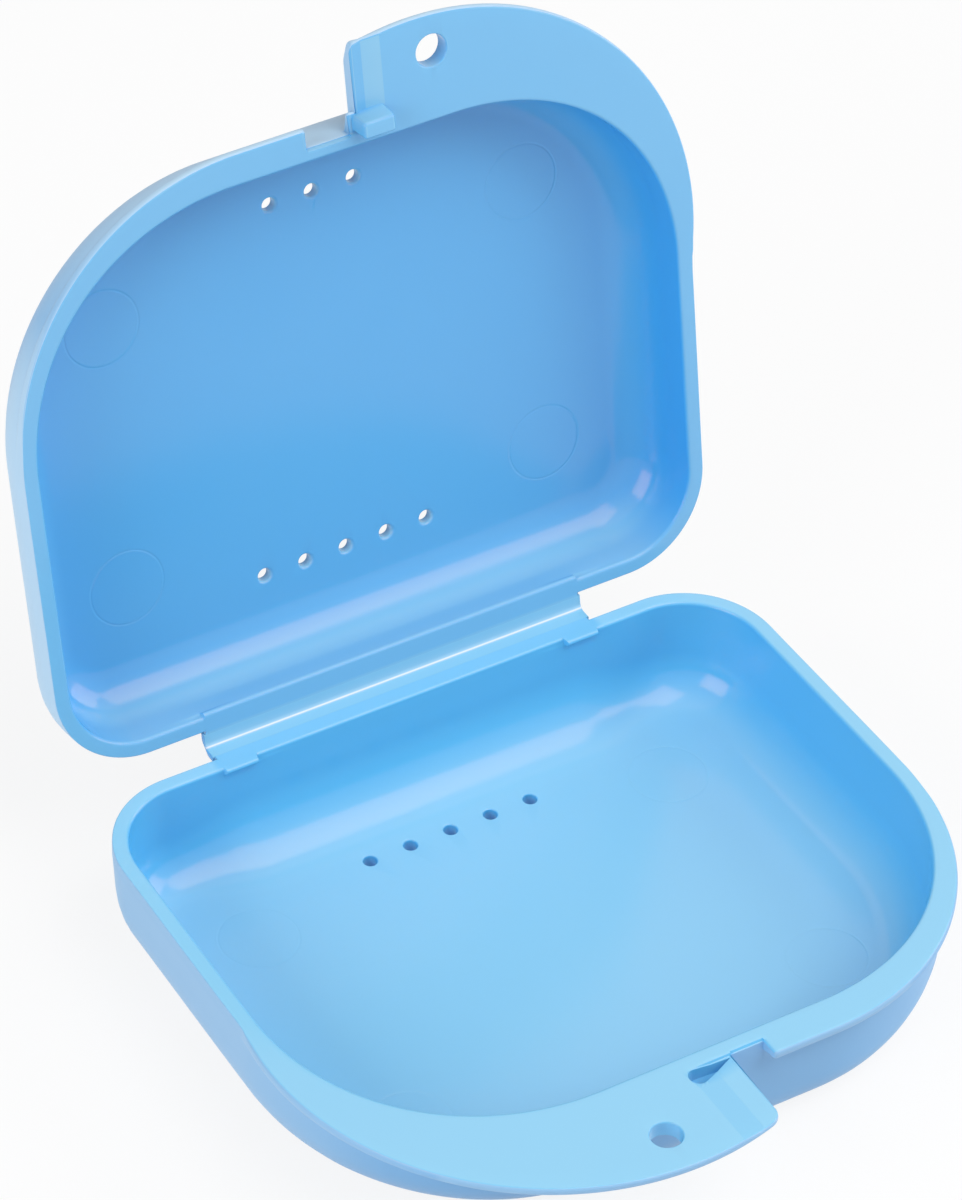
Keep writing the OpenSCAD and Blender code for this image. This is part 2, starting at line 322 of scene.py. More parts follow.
class Value:
    """A number on a shader socket; arithmetic on it adds Math nodes."""

    def __init__(self, graph: "Graph", socket: bpy.types.NodeSocket) -> None:
        """Keeps the graph and the socket that gives the value."""
        self.graph, self.socket = graph, socket

    def _math(self, operation: str, first: Any, second: Any) -> "Value":
        """Adds one Math node."""
        return self.graph.node("ShaderNodeMath", {"operation": operation}, {0: first, 1: second})

    def __add__(self, other: Any) -> "Value":
        """Sum."""
        return self._math("ADD", self, other)

    __radd__ = __add__

    def __sub__(self, other: Any) -> "Value":
        """Difference."""
        return self._math("SUBTRACT", self, other)

    def __rsub__(self, other: Any) -> "Value":
        """Difference with the value on the right."""
        return self._math("SUBTRACT", other, self)

    def __mul__(self, other: Any) -> "Value":
        """Product."""
        return self._math("MULTIPLY", self, other)

    __rmul__ = __mul__

    def smooth(self, low: float, high: float) -> "Value":
        """Smoothstep of the value, falling where low is above high.

        Args:
            low: Where the result is 0.
            high: Where the result is 1.

        Returns:
            The result, from 0 to 1.
        """
        ends = {"From Min": min(low, high), "From Max": max(low, high)}
        ends |= {"To Min": float(low > high), "To Max": float(low <= high), "Value": self}
        return self.graph.node("ShaderNodeMapRange", {"interpolation_type": "SMOOTHSTEP"}, ends)


class Graph:
    """The node tree of one material or world."""

    def __init__(self, tree: bpy.types.NodeTree) -> None:
        """Takes a tree and empties it."""
        self.tree = tree
        tree.nodes.clear()

    def node(self, kind: str, settings: dict[str, Any] | None = None, inputs: dict[Any, Any] | None = None,
             output: int | str = 0) -> Value:
        """Adds any node.

        Args:
            kind: The node's type.
            settings: Its own settings, set before its sockets.
            inputs: A value or a link for each named or numbered socket.
            output: Which output to hand back.

        Returns:
            The chosen output.
        """
        made = self.tree.nodes.new(kind)
        for name, setting in (settings or {}).items():
            setattr(made, name, setting)
        for name, given in (inputs or {}).items():
            if isinstance(given, Value):
                self.tree.links.new(given.socket, made.inputs[name])
            else:
                made.inputs[name].default_value = given
        return Value(self, made.outputs[output] if made.outputs else None)

    def mix(self, share: Any, first: Any, second: Any) -> Value:
        """Mixes two colours: sockets 6 and 7 of a colour Mix node, handed back from its colour output."""
        return self.node("ShaderNodeMix", {"data_type": "RGBA"}, {0: share, 6: first, 7: second}, 2)

    def noise(self, place: Value, scale: float, detail: float = 2.0, roughness: float = 0.5) -> Value:
        """Even noise from 0 to 1, scale features to the metre."""
        return self.node("ShaderNodeTexNoise", None,
                         {"Vector": place, "Scale": scale, "Detail": detail, "Roughness": roughness})

    def seen(self) -> Value:
        """Tells rays that the camera follows, also reflected or through glass, from those that only light.

        Returns:
            1 on such rays: the sum of three outputs of Light Path.
        """
        rays = ("Is Camera Ray", "Is Glossy Ray", "Is Transmission Ray")
        camera, glossy, through = (self.node("ShaderNodeLightPath", output=ray) for ray in rays)
        return camera + glossy + through


@dataclass(frozen=True)
class Plastic:
    """Moulded polypropylene: its colours, its gloss and the fine unevenness of its skin.

    The painted light and shade that each mesh carries leads from the shaded colour, a painted shade, to the
    open one, a painted light. Pins are the middles of the ejector pins, in millimetres, which leave faint rings
    round them. Where the plastic folds it turns pale, partly stress whitening and partly a painted highlight:
    its mesh carries how much, and the crease colour is what it turns to.
    """

    name: str
    # Colours of faces in shade and of faces open to the light from above: painted shade and painted light
    shaded: str
    open: str
    roughness: float
    roughness_play: float
    skin_scale: float
    skin_depth: float
    wave_depth: float
    pins: tuple[tuple[float, float, float], ...] = ()
    pin_r: float = 4.3
    ring_w: float = 0.4
    ring_depth: float = 0.03
    drift: float = 0.05
    fold_whitening_and_highlight: str | None = None
    flow_scale: float = 22.0
    handled_scale: float = 210.0
    wave_scale: float = 95.0
    ior: float = 1.49
    glint: tuple[float, float, float, float] = (1.0, 0.45, 0.18, 1.0)

    def build(self) -> bpy.types.Material:
        """Makes the material: painted light and shade with a slow drift in the colour, uneven gloss, a fine
        skin and soft waves.

        Returns:
            The material, which reads Object coordinates and the attribute of painted light and shade.
        """
        material = bpy.data.materials.new(self.name)
        material.use_nodes = True
        g = Graph(material.node_tree)
        place = g.node("ShaderNodeTexCoord", output="Object")
        flow = g.noise(place, self.flow_scale, 3.0, 0.55).smooth(0.3, 0.7)
        handled = g.noise(place, self.handled_scale, 4.0, 0.6)
        # The attribute is painted light and shade: it mixes the shaded colour, painted shade, with the open
        # one, painted light
        painted_light = g.node("ShaderNodeAttribute", {"attribute_name": "painted_light"}, None, "Fac")
        colour = g.mix(painted_light + self.drift * (flow - 0.5), linear(self.shaded), linear(self.open))
        # The fold's pale line is stress whitening with a painted highlight, and a painted highlight fades from
        # it on the lid's side
        if self.fold_whitening_and_highlight:
            pale = g.node("ShaderNodeAttribute", {"attribute_name": "fold_whitening_and_highlight"}, None, "Fac")
            colour = g.mix(pale, colour, linear(self.fold_whitening_and_highlight))
        gloss = self.roughness + self.roughness_play * (handled - 0.5)
        gloss = gloss + 0.5 * self.roughness_play * (flow - 0.5)
        height = self.skin_depth * g.noise(place, self.skin_scale, 2.0)
        height = height + self.wave_depth * g.noise(place, self.wave_scale, 1.0)
        for pin in self.pins:
            height = height - self.ring_depth * MM * self._ring(g, place, pin)
        bump = g.node("ShaderNodeBump", None, {"Strength": 1.0, "Distance": 1.0, "Height": height})
        shader = g.node("ShaderNodeBsdfPrincipled", None, {
            "Base Color": colour, "Roughness": gloss, "Normal": bump,
            "IOR": self.ior, "Specular Tint": self.glint})
        g.node("ShaderNodeOutputMaterial", None, {"Surface": shader})
        return material

    def _ring(self, g: Graph, place: Value, pin: tuple[float, float, float]) -> Value:
        """A groove along the circle round one pin: 1 on the circle and 0 half a ring's width from it.

        Args:
            g: The material's graph.
            place: Object coordinates.
            pin: Middle of the pin in millimetres.

        Returns:
            The groove's share of its depth.
        """
        middle = tuple(v * MM for v in pin)
        far = g.node("ShaderNodeVectorMath", {"operation": "DISTANCE"}, {0: place, 1: middle}, "Value")
        away = g.node("ShaderNodeMath", {"operation": "ABSOLUTE"}, {0: far - self.pin_r * MM})
        return away.smooth(0.5 * self.ring_w * MM, 0.0)


@dataclass(frozen=True)
class LightAndShade:
    """Painted light and shade of faces that look out of a shell's mouth, what the tab's slope adds, the vents'
    walls.

    The strap's painted light and shade ends at a distance from the fold. The outer face on the left has a
    painted light of its own. A band holds two levels or distances in millimetres, from the fold or, for the
    vents, from the floor. A look or a lean holds two cosines between a face's normal and a direction. From the
    first of the two to the second a share rises from 0 to 1 by a smoothstep.
    """

    floor: float
    rim: float
    strap: float
    slope: float
    vent: float = 0.0
    strap_ends: float = 1.75
    left: float = 0.0
    rim_band: tuple[float, float] = (-0.9, -0.3)
    mouth_look: tuple[float, float] = (0.4, 1.0)
    front_band: tuple[float, float] = (64.2, 64.8)
    front_least: float = 0.4
    pocket_band: tuple[float, float] = (-0.5, -1.0)
    pocket_look: tuple[float, float] = (0.7, 0.95)
    vent_band: tuple[float, float] = (0.1, -0.2)
    vent_look: tuple[float, float] = (-0.7, -0.3)
    left_look: tuple[float, float] = (0.7, 0.97)
    left_from: float = -15.0
    strap_half: float = 23.3
    strap_blur: float = 0.15
    slope_lean: tuple[float, float] = (0.04, 0.09)
    slope_look: tuple[float, float] = (0.93, 0.97)


def paint_light_and_shade(piece: bpy.types.Object, turn: Turn, light_and_shade: LightAndShade) -> None:
    """Writes the attribute of painted light and shade: how open to the light from above a place is, from 0 to
    1.

    It is the cube of the normal's upward part: upward faces are painted lit and walls painted shaded. Faces
    that look out of the shell's mouth get at least the floor's painted light, and at the level of the rim at
    least the rim's. What stands out in front of the shell is lit from all round, so every face of it gets a
    share of painted light, but the bottom of the latch pocket is painted in shade. Next to the fold the strap
    has its own painted light and shade, as have the walls of the vents and the outer face on the left, which
    get painted light. Where the tab's face leans to one side the slope's value is added: a painted reflection
    on the lid, a painted shade on the base.

    Args:
        piece: The finished mesh, at rest.
        turn: The shell that it belongs to.
        light_and_shade: The levels of painted light and shade to give.
    """
    mesh = piece.data
    mouth, ahead = np.array(MOUTH[turn]), np.array(AHEAD[turn])
    place, normal = np.empty(len(mesh.vertices) * 3), even_normals(mesh)
    mesh.vertices.foreach_get("co", place)
    place = place.reshape(-1, 3) / MM - np.array([0.0, *FOLD])
    # All of this is painted light and shade, worked out from the normals and places at rest
    level, out, look = place @ mouth, place @ ahead, normal @ mouth
    from_mouth = smooth(*light_and_shade.mouth_look, look)
    share = light_and_shade.floor + (light_and_shade.rim - light_and_shade.floor) * smooth(*light_and_shade.rim_band, level)
    painted_light = np.maximum(np.clip(normal[:, 2], 0.0, 1.0) ** 3, share * from_mouth)
    in_front = smooth(*light_and_shade.front_band, out)
    painted_light = np.maximum(painted_light, light_and_shade.front_least * in_front)
    painted_light *= 1.0 - in_front * smooth(*light_and_shade.pocket_band, level) * smooth(*light_and_shade.pocket_look, look)
    upper, lower = (FLOOR_LEVEL[turn] + off for off in light_and_shade.vent_band)
    painted_light = np.maximum(painted_light, light_and_shade.vent * (smooth(upper, lower, level) * smooth(*light_and_shade.vent_look, look)))
    on_left = smooth(*light_and_shade.left_look, -normal[:, 0]) * (place[:, 0] < light_and_shade.left_from)
    painted_light = np.maximum(painted_light, light_and_shade.left * on_left)
    far, near = light_and_shade.strap_ends + light_and_shade.strap_blur, light_and_shade.strap_ends - light_and_shade.strap_blur
    on_strap = smooth(far, near, out) * (np.abs(place[:, 0]) < light_and_shade.strap_half)
    painted_light += (light_and_shade.strap - painted_light) * on_strap * from_mouth
    lean = smooth(*light_and_shade.slope_lean, np.abs(normal[:, 0])) * smooth(*light_and_shade.slope_look, look)
    write_values(piece, "painted_light", np.clip(painted_light + light_and_shade.slope * lean * in_front, 0.0, 1.0))


@dataclass(frozen=True)
class Pad:
    """A stretch of the back wall's inner edge, on both sides of the middle, that stands in or is set back.

    It runs from start to end along X and stands in by its own amount over its height below the rim. Under it
    the wall stands in by the foot's amount, which fades out downwards and, slowly, past both ends.
    """

    start: float
    end: float
    by: float
    height: float
    foot: float
    fade: float = 5.0
    blur: float = 0.08

    def share(self, x: Array) -> Array:
        """1 between the two ends and 0 outside them, with a steep smoothstep at each end."""
        rise = smooth(self.start - self.blur, self.start + self.blur, x)
        return rise * smooth(self.end + self.blur, self.end - self.blur, x)

    def marks(self) -> Array:
        """Finds where columns have to stand close together: beside both ends, on both sides of the middle.

        Returns:
            X of those columns.
        """
        near = (-0.25, -self.blur, self.blur, 0.25)
        ends = [side * end for side in (-1, 1) for end in (self.start, self.end)]
        return np.array([end + off for end in ends for off in near])


@dataclass
class Shell:
    """One half of the case as a section carried round a D-shaped outline.

    The outline is the outer face of the wall. At each place on it the section runs in the plane of the outward
    direction and the height: from the underside round the lower edge, up the wall, out and back along the lip
    or tab, over the rim and down the inside to the floor.

    The radius of the lower edge grows by its play towards the back and shrinks by it towards the front. The
    lean is how far the wall draws in towards the underside at the rear corners. The sides draw in by the
    narrowing's share of their width towards the hinge, and the whole half is wider by the spread's share. Rings
    are the shares of their size to which the underside and the floor shrink on the way to the middle.
    """

    name: str
    body: str
    turn: Turn
    stands_for: tuple[str, ...]
    height: float
    step_x: float
    notch: tuple[float, float]
    slope: tuple[float, float]
    vents: tuple[tuple[int, float], ...]
    vent_flare: float
    drop: float
    tab_corner_r: float
    tab_centre: tuple[float, float]
    end_rib: float
    front_wall: float
    pads: tuple[Pad, ...]
    # Levels of painted light and shade for the shell's faces
    light_and_shade: LightAndShade
    inner: Plastic
    outer: Plastic
    pocket: bool = False
    half_width: float = 40.0
    back_y: float = 32.3
    front_y: float = -30.1
    back_r: float = 10.2
    front_r: float = 27.0
    front_corner_columns: int = 64
    back_corner_columns: int = 26
    side_columns: int = 16
    side_wall: float = 1.8
    back_thinner: float = 0.1
    corner_thinner: float = 0.35
    rim_band: float = 0.6
    lip: float = 2.2
    lip_t: float = 1.3
    lip_r: float = 27.4
    lip_side_in: float = 0.12
    tab_t: float = 1.8
    tab_edge: float = 0.85
    tab_r: float = 31.6
    lanyard: tuple[float, float] = (10.6, -36.5)
    lanyard_r: float = 1.8
    lanyard_flare: float = 0.18
    lanyard_depth: float = 3.2
    strap_half: float = 23.2
    strap: float = 0.9
    strap_t: float = 0.75
    floor_t: float = 1.6
    edge_r: float = 7.8
    edge_play: float = 3.0
    edge_most: float = 10.0
    lean: float = 0.0
    lean_side: float = 0.45
    lean_growth: float = 0.95
    lean_fades: tuple[float, float] = (0.9, 0.6)
    fillet_r: float = 6.0
    back_fillet_r: float = 6.0
    back_fillet_fades: tuple[float, float] = (29.0, 20.0)
    end_r: float = 0.28
    strap_end_r: float = 0.12
    vent_r: float = 0.75
    vent_sink: float = 0.0
    vent_pitch: float = 5.0
    pocket_at: tuple[float, float] = (3.5, 1.15)
    pocket_r: float = 1.05
    pocket_tip: tuple[float, float] = (-0.85, 0.3)
    pocket_depth: float = 1.65
    spread: float = 0.0
    narrowing: float = 0.011
    narrow_from: float = -10.0
    narrow_to: float = 32.0
    rings: tuple[float, ...] = (0.8, 0.55, 0.28)

    @staticmethod
    def _end(at: float, inward: float, radius: float) -> Array:
        """X of the columns that round a square end: radius times one minus a sine, then a twin just past it."""
        angle = np.radians([90.0, 70.0, 48.0, 25.0, 0.0])
        return np.append(at + inward * radius * (1.0 - np.sin(angle)), at - inward * TWIN_GAP)

    def _front_x(self) -> Array:
        """Spaces the columns along the straight front, close together at square ends and on the tab's corner.

        Returns:
            X of the columns, rising.
        """
        low, high = self.notch
        edge = self.half_width - self.front_r
        corner = self.step_x + self.tab_corner_r * (1.0 - np.cos(np.radians(np.linspace(8, 90, 14))))
        parts = [np.linspace(-edge, low - 0.6, 10), self._end(low, -1.0, self.end_r),
                 np.linspace(low + 0.5, high - 0.5, 6), self._end(self.step_x, 1.0, self.end_r), corner,
                 np.linspace(self.step_x + 3.0, edge - 0.4, 20)]
        if high < self.step_x - 0.1:
            parts += [self._end(high, 1.0, self.end_r), np.linspace(high + 0.45, self.step_x - 0.2, 3)]
        slope = np.array([end + off for end in self.slope for off in (-0.08, 0.0, 0.08)])
        return np.unique(np.round(np.concatenate(parts + [slope]), 4))

    def _back_x(self) -> Array:
        """Spaces the columns along the straight back, close together at the ends of the strap and of each pad.

        Returns:
            X of the columns, falling.
        """
        ends = [self._end(side * self.strap_half, -side, self.strap_end_r) for side in (-1.0, 1.0)]
        most = self.half_width - self.back_r - 0.3
        even = np.linspace(-most, most, 46)
        marked = np.concatenate(ends + [pad.marks() for pad in self.pads])
        keep = np.min(np.abs(even[:, None] - marked[None, :]), axis=1) > 0.2
        return np.unique(np.round(np.concatenate([even[keep], marked]), 4))[::-1]

    def _columns(self) -> tuple[Array, Array, Array]:
        """Places round the wall's outer face, counter-clockwise from the front's left end.

        Straight runs are points on a line; each corner is its centre plus its radius along the outward
        direction, at even angles.

        Returns:
            Places and outward directions, count by two, and a number per column that tells straight front (1),
            straight back (2) and the rest (0).
        """
        front, back = self._front_x(), self._back_x()
        fc = np.array([self.half_width - self.front_r, self.front_y + self.front_r])
        bc = np.array([self.half_width - self.back_r, self.back_y - self.back_r])
        steps_f = np.radians(np.linspace(-90, 0, self.front_corner_columns))
        steps_b = np.radians(np.linspace(0, 90, self.back_corner_columns))
        side = np.linspace(fc[1], bc[1], self.side_columns)[1:-1]

        def arc(centre: Array, radius: float, angle: Array) -> tuple[Array, Array]:
            """Points and directions of one corner."""
            way = np.stack([np.cos(angle), np.sin(angle)], 1)
            return centre + radius * way, way

        def run(x: Array, y: Array, way: tuple[float, float]) -> tuple[Array, Array]:
            """Points and directions of one straight run."""
            return np.stack(np.broadcast_arrays(x, y), 1), np.tile(np.array(way), (max(x.size, y.size), 1))

        flip = np.array([-1.0, 1.0])
        pieces = [(run(front, np.array(self.front_y), (0.0, -1.0)), 1), (arc(fc, self.front_r, steps_f), 0),
                  (run(np.array(self.half_width), side, (1.0, 0.0)), 0), (arc(bc, self.back_r, steps_b), 0),
                  (run(back, np.array(self.back_y), (0.0, 1.0)), 2),
                  (arc(bc * flip, self.back_r, steps_b + math.pi / 2), 0),
                  (run(np.array(-self.half_width), side[::-1], (-1.0, 0.0)), 0),
                  (arc(fc * flip, self.front_r, steps_f - math.pi / 2), 0)]
        place = np.concatenate([p for (p, _), _ in pieces])
        way = np.concatenate([w for (_, w), _ in pieces])
        kind = np.concatenate([np.full(len(p), k) for (p, _), k in pieces])
        keep = np.linalg.norm(place - np.roll(place, 1, axis=0), axis=1) > LEAST_STEP
        return place[keep], way[keep], kind[keep]

    def _reach(self, place: Array, way: Array, kind: Array) -> tuple[Array, Array, Array, Array, Array]:
        """How far the lip, the tab or the hinge leaf stands out, and how it ends.

        The lip reaches to an equal corner circle set forward by its width, and the tab to its own large circle;
        both distances are measured along the outward direction. The tab's outer corner is a small circle that
        touches the large one and the square end. At a square end the section shrinks by a quarter round.

        Args:
            place: Places on the wall.
            way: Outward directions.
            kind: Straight front, straight back or other.

        Returns:
            Reach, thickness, how far the tab's face drops, how much the section shrinks, and by how much a rib
            makes the tab's edge thicker at its square end, one per column.
        """
        x, front = place[:, 0], kind == 1

        def to_circle(centre: Array, radius: float) -> Array:
            """Distance along the outward direction to a circle, from the quadratic formula.

            Args:
                centre: Middle of the circle, or one for each column.
                radius: Its radius.

            Returns:
                The distance at each column.
            """
            d = place - centre
            along = np.sum(d * way, axis=1)
            return -along + np.sqrt(np.maximum(along ** 2 - np.sum(d * d, axis=1) + radius ** 2, 0.0))

        lip_x = np.where(x < 0, -1.0, 1.0) * (self.half_width - self.lip_side_in - self.lip_r)
        lip_y = np.full_like(x, self.front_y - self.lip + self.lip_r)
        bend = soft_positive(to_circle(np.stack([lip_x, lip_y], 1), self.lip_r), 0.1)
        bend = bend * smooth(0.0, 0.3, -way[:, 1])
        straight = front & (np.abs(x) < np.abs(lip_x))
        lip = np.where(straight, self.lip, np.where(way[:, 1] < 0.0, np.minimum(bend, self.lip), 0.0))
        low, high = self.notch
        lip = np.where(front & (x > low) & (x < high), 0.0, lip)

        tab = to_circle(np.array(self.tab_centre), self.tab_r)
        cx = self.step_x + self.tab_corner_r
        inside = self.tab_r - self.tab_corner_r
        cy = self.tab_centre[1] - math.sqrt(inside ** 2 - (cx - self.tab_centre[0]) ** 2)
        lean = (self.tab_centre[0] - cx) / inside
        near = front & (x < cx - self.tab_corner_r * lean)
        round_y = cy - np.sqrt(np.maximum(self.tab_corner_r ** 2 - (x - cx) ** 2, 0.0))
        tab = np.where(near, self.front_y - round_y, tab)
        past_step = front & (x >= self.step_x - SLACK)
        on_tab = past_step | ((kind == 0) & (x > 0) & (way[:, 1] < SLACK))
        extra = soft_positive(tab - lip, 0.2)
        extra = np.where(on_tab, extra * smooth(0.02, 0.2, extra), 0.0)
        share = smooth(0.0, 3.0, extra)

        leaf = (kind == 2) & (np.abs(x) <= self.strap_half + SLACK)
        reach = np.where(leaf, self.strap, lip + extra)
        rib = self.end_rib * smooth(self.step_x + 1.4, self.step_x + 0.4, x) * (front & on_tab)
        thick = np.where(leaf, self.strap_t, self.lip_t + (self.tab_t - self.lip_t) * share + rib)

        before_step = front & (x < self.step_x - LEAST_STEP)
        radius = np.where(leaf, self.strap_end_r, self.end_r)
        gap = np.where(past_step, x - self.step_x, radius)
        gap = np.where(front & (x <= low + SLACK), low - x, gap)
        gap = np.where(before_step & (x >= high - SLACK), x - high, gap)
        gap = np.where(leaf, self.strap_half - np.abs(x), gap)
        inset = np.clip(radius - np.maximum(gap, 0.0), 0.0, radius)
        shrink = radius - np.sqrt(radius ** 2 - inset ** 2)
        slope = np.clip((self.slope[1] - x) / (self.slope[1] - self.slope[0]), 0.0, 1.0)
        drop = self.drop * np.where(before_step, 1.0, slope) * (front & (x > low))
        return reach, thick, drop, shrink, rib

    def _sections(self, place: Array, way: Array, kind: Array) -> tuple[Array, int]:
        """The rounded section at every column.

        The wall's thickness goes in proportion from the side's to the front's or the back's with the way that
        the wall faces, and the front corners are thinner by the squared sine of twice that angle. The radius of
        the lower edge changes by its play times the square of that proportion. Pads change the inner edge of
        the back.

        Args:
            place: Places on the wall.
            way: Outward directions.
            kind: Straight front, straight back or other.

        Returns:
            Outward distance and height along each section, columns by rows by two, and the first row that
            belongs to the polished inside.
        """
        reach, thick, drop, shrink, rib = self._reach(place, way, kind)
        h, facing, ax, back = self.height, way[:, 1], np.abs(place[:, 0]), kind == 2
        front = self.side_wall - (self.front_wall - self.side_wall) * facing
        front = front - self.corner_thinner * (2.0 * way[:, 0] * facing) ** 2
        wall = np.where(facing < 0, front, self.side_wall - self.back_thinner * facing)
        pad, foot, pad_h = np.zeros_like(wall), np.zeros_like(wall), np.full_like(wall, self.rim_band)
        for p in self.pads:
            share = p.share(ax) * back
            pad += p.by * share
            pad_h += (p.height - self.rim_band) * share
            foot += p.foot * smooth(p.end + p.fade, p.end - p.fade, ax) * back
        edge = np.minimum(self.edge_r + self.edge_play * facing * np.abs(facing), self.edge_most)
        lean = self.lean * np.clip(self.lean_side + self.lean_growth * facing, 0.0, 1.0)
        lean = lean * smooth(*self.lean_fades, facing)
        straight_back = smooth(*self.back_fillet_fades, ax) * back
        fillet = self.fillet_r + (self.back_fillet_r - self.fillet_r) * straight_back
        stands_out = reach > 0.3
        out = np.where(stands_out, reach - shrink, reach)
        cut = np.where(stands_out, shrink, 0.0)
        plain = 1.0 - smooth(0.1, 0.9, out)
        low, top = h - thick + cut, h - drop - cut
        edge_t = np.where(out > 3.0, self.tab_edge + 1.2 * rib, np.minimum(thick - 0.3, 0.95))
        edge_z = np.maximum(np.minimum(h - edge_t + cut, top - 0.12), low + 0.12)
        step = np.minimum(0.05, out - 0.14)
        zero = np.zeros_like(wall)
        floor = zero + self.floor_t
        # Each corner: distance out, height, reach of its arc, points on the arc and on the edge that follows
        corners = [(-edge - lean - 0.05, zero, 0.0, 1, 0),
                   (-lean, zero, edge, 12, 3),
                   (zero, low - 0.25 * plain, 0.35, 4, 1),
                   (out - 0.2 * out, low, 0.25, 3, 2),
                   (out, edge_z, 0.28, 4, 1),
                   (out, top, 0.32, 6, 3),
                   (step, top, 0.05, 2, 0),
                   (step - 0.1, zero + h, 0.05, 2, 2),
                   (-wall - pad, zero + h, 0.38, 6, 2),
                   (-wall - pad, h - pad_h, 0.15, 3, 0),
                   (-wall - foot, h - pad_h - 0.35, 0.15, 3, 3),
                   (-wall, fillet + self.floor_t - 0.6, 0.5, 3, 0),
                   (-wall, floor, fillet, 12, 0),
                   (-wall - fillet - 0.8, floor, 0.0, 1, 0)]
        keys = np.stack([np.stack(c[:2], 1) for c in corners], 1)
        arc_reach = np.stack([zero + c[2] for c in corners], 1)
        arcs, edges = [c[3] for c in corners], [c[4] for c in corners[:-1]]
        # The polished inside starts in the middle of the arc at the lip's upper edge
        polished = sum(arcs[:5]) + sum(edges[:5]) + arcs[5] // 2
        return rounded_path(keys, arc_reach, arcs, edges), polished

    def build(self) -> bpy.types.Object:
        """Works out the whole closed surface, cuts its holes and places it.

        A point of the surface is the column's place, plus the section's distance along the outward direction,
        plus its height. Rings that shrink evenly to the middle close the underside and the floor.

        Returns:
            The dressed shell.
        """
        place, way, kind = self._columns()
        section, polished = self._sections(place, way, kind)
        columns, rows = section.shape[:2]
        xy = place[None] + section[..., 0].T[..., None] * way[None]
        skin = np.concatenate([xy, section[..., 1].T[..., None]], 2)
        shares = np.array(self.rings)[:, None, None]
        under = skin[:1] * shares[::-1]
        floor = skin[-1:] * np.array([1.0, 1.0, 0.0]) * shares + np.array([0.0, 0.0, self.floor_t])
        points = np.concatenate([under, skin, floor]).reshape(-1, 3)
        total_rows = rows + 2 * len(self.rings)
        quads = grid_faces(total_rows, columns)
        i = np.arange(columns)
        right = (i + 1) % columns
        last = (total_rows - 1) * columns
        bottom, centre = len(points), len(points) + 1
        points = np.concatenate([points, [[0.0, 0.0, 0.0], [0.0, 0.0, self.floor_t]]])
        fans = np.concatenate([np.stack([np.full(columns, bottom), right, i], 1),
                               np.stack([np.full(columns, centre), last + i, last + right], 1)])
        slots = np.concatenate([np.repeat(np.arange(total_rows - 1) < polished + len(self.rings), columns),
                                np.repeat([True, False], columns)])
        faces = quads.reshape(-1, 4)[:, ::-1].tolist() + fans[:, ::-1].tolist()
        piece = make_mesh(self.name, self._placed(points), faces, slots)
        for finish in (self.inner, self.outer):
            piece.data.materials.append(finish.build())
        cut_away(piece, self._cutter())
        soften(piece, SHELL_SHARP)
        # Paints light and shade into the colour through the mesh's attribute
        paint_light_and_shade(piece, self.turn, self.light_and_shade)
        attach(piece, self.body)
        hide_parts(*self.stands_for)
        return piece

    def _placed(self, points: Array) -> Array:
        """Brings points from the mouth-up shell into the case, with the sides drawn in a little at the hinge.

        Args:
            points: Places in the shell's own frame.

        Returns:
            Places in the case's frame. Both ways of placing turn the surface inside out once.
        """
        x, y, z = points.T
        x = x * (1.0 + self.spread - self.narrowing * smooth(self.narrow_from, self.narrow_to, y))
        if self.turn is Turn.TAB_LEFT:
            return np.stack([-x, y, z], 1)
        rim = FOLD[1] + RIM_GAP / 2.0
        return swing_open(np.stack([x, y, rim + self.height - z], 1))

    def _cutter(self) -> bpy.types.Object:
        """One object with the forms of all vents, the lanyard hole and the latch pocket.

        A hole is its section turned round an upright axis: a cylinder that flares at the inner face like a
        trumpet, so that the rim of the hole is rounded.

        Returns:
            The cutter, in place.
        """
        solids: list[Solid] = []
        for count, y in self.vents:
            for k in range(count):
                at = ((k - (count - 1) / 2.0) * self.vent_pitch, y)
                solids.append(self._hole(at, self.vent_r, -HOLE_PAST, self.floor_t, self.vent_flare,
                                         self.vent_sink))
        low = self.height - self.lanyard_depth
        solids.append(self._hole(self.lanyard, self.lanyard_r, low, self.height, self.lanyard_flare, 0.0))
        if self.pocket:
            solids.append(self._pocket())
        points: list[Array] = []
        faces: list[list[int]] = []
        for solid, parts in solids:
            start = sum(len(p) for p in points)
            points.append(solid)
            faces += [[start + n for n in reversed(part)] for part in parts]
        return make_mesh(self.name + "_cutter", self._placed(np.concatenate(points)), faces)

    @staticmethod
    def _hole(at: tuple[float, float], radius: float, low: float, face: float, flare: float,
              sink: float) -> Solid:
        """A round cutter whose radius grows along an arc below the face and on in a straight line above it.

        Args:
            at: Middle of the hole.
            radius: Radius of the bore.
            low: Lower end.
            face: Height of the face that gets the rounded rim.
            flare: Radius of the rim's rounding.
            sink: How much wider the hole is at the far face, from which it narrows upwards at 45 degrees.

        Returns:
            Points and outward faces.
        """
        turn = np.radians(np.linspace(0.0, HOLE_ARC, 9))
        sine, cosine = math.sin(turn[-1]), math.cos(turn[-1])
        wide, past = radius + sink, low + HOLE_PAST
        r = np.concatenate([[wide, wide, radius, radius], radius + flare * (1.0 - np.cos(turn[1:]))])
        z = np.concatenate([[low, past, past + 0.01 + sink, face - flare * sine],
                            face + flare * (np.sin(turn[1:]) - sine)])
        r, z = np.append(r, r[-1] + HOLE_ON * sine), np.append(z, z[-1] + HOLE_ON * cosine)
        angle = np.linspace(0.0, 2.0 * math.pi, HOLE_SIDES, endpoint=False)
        ring = np.stack([np.outer(r, np.cos(angle)) + at[0], np.outer(r, np.sin(angle)) + at[1],
                         np.repeat(z[:, None], HOLE_SIDES, axis=1)], 2)
        return ring.reshape(-1, 3), tube_faces(len(r), HOLE_SIDES)

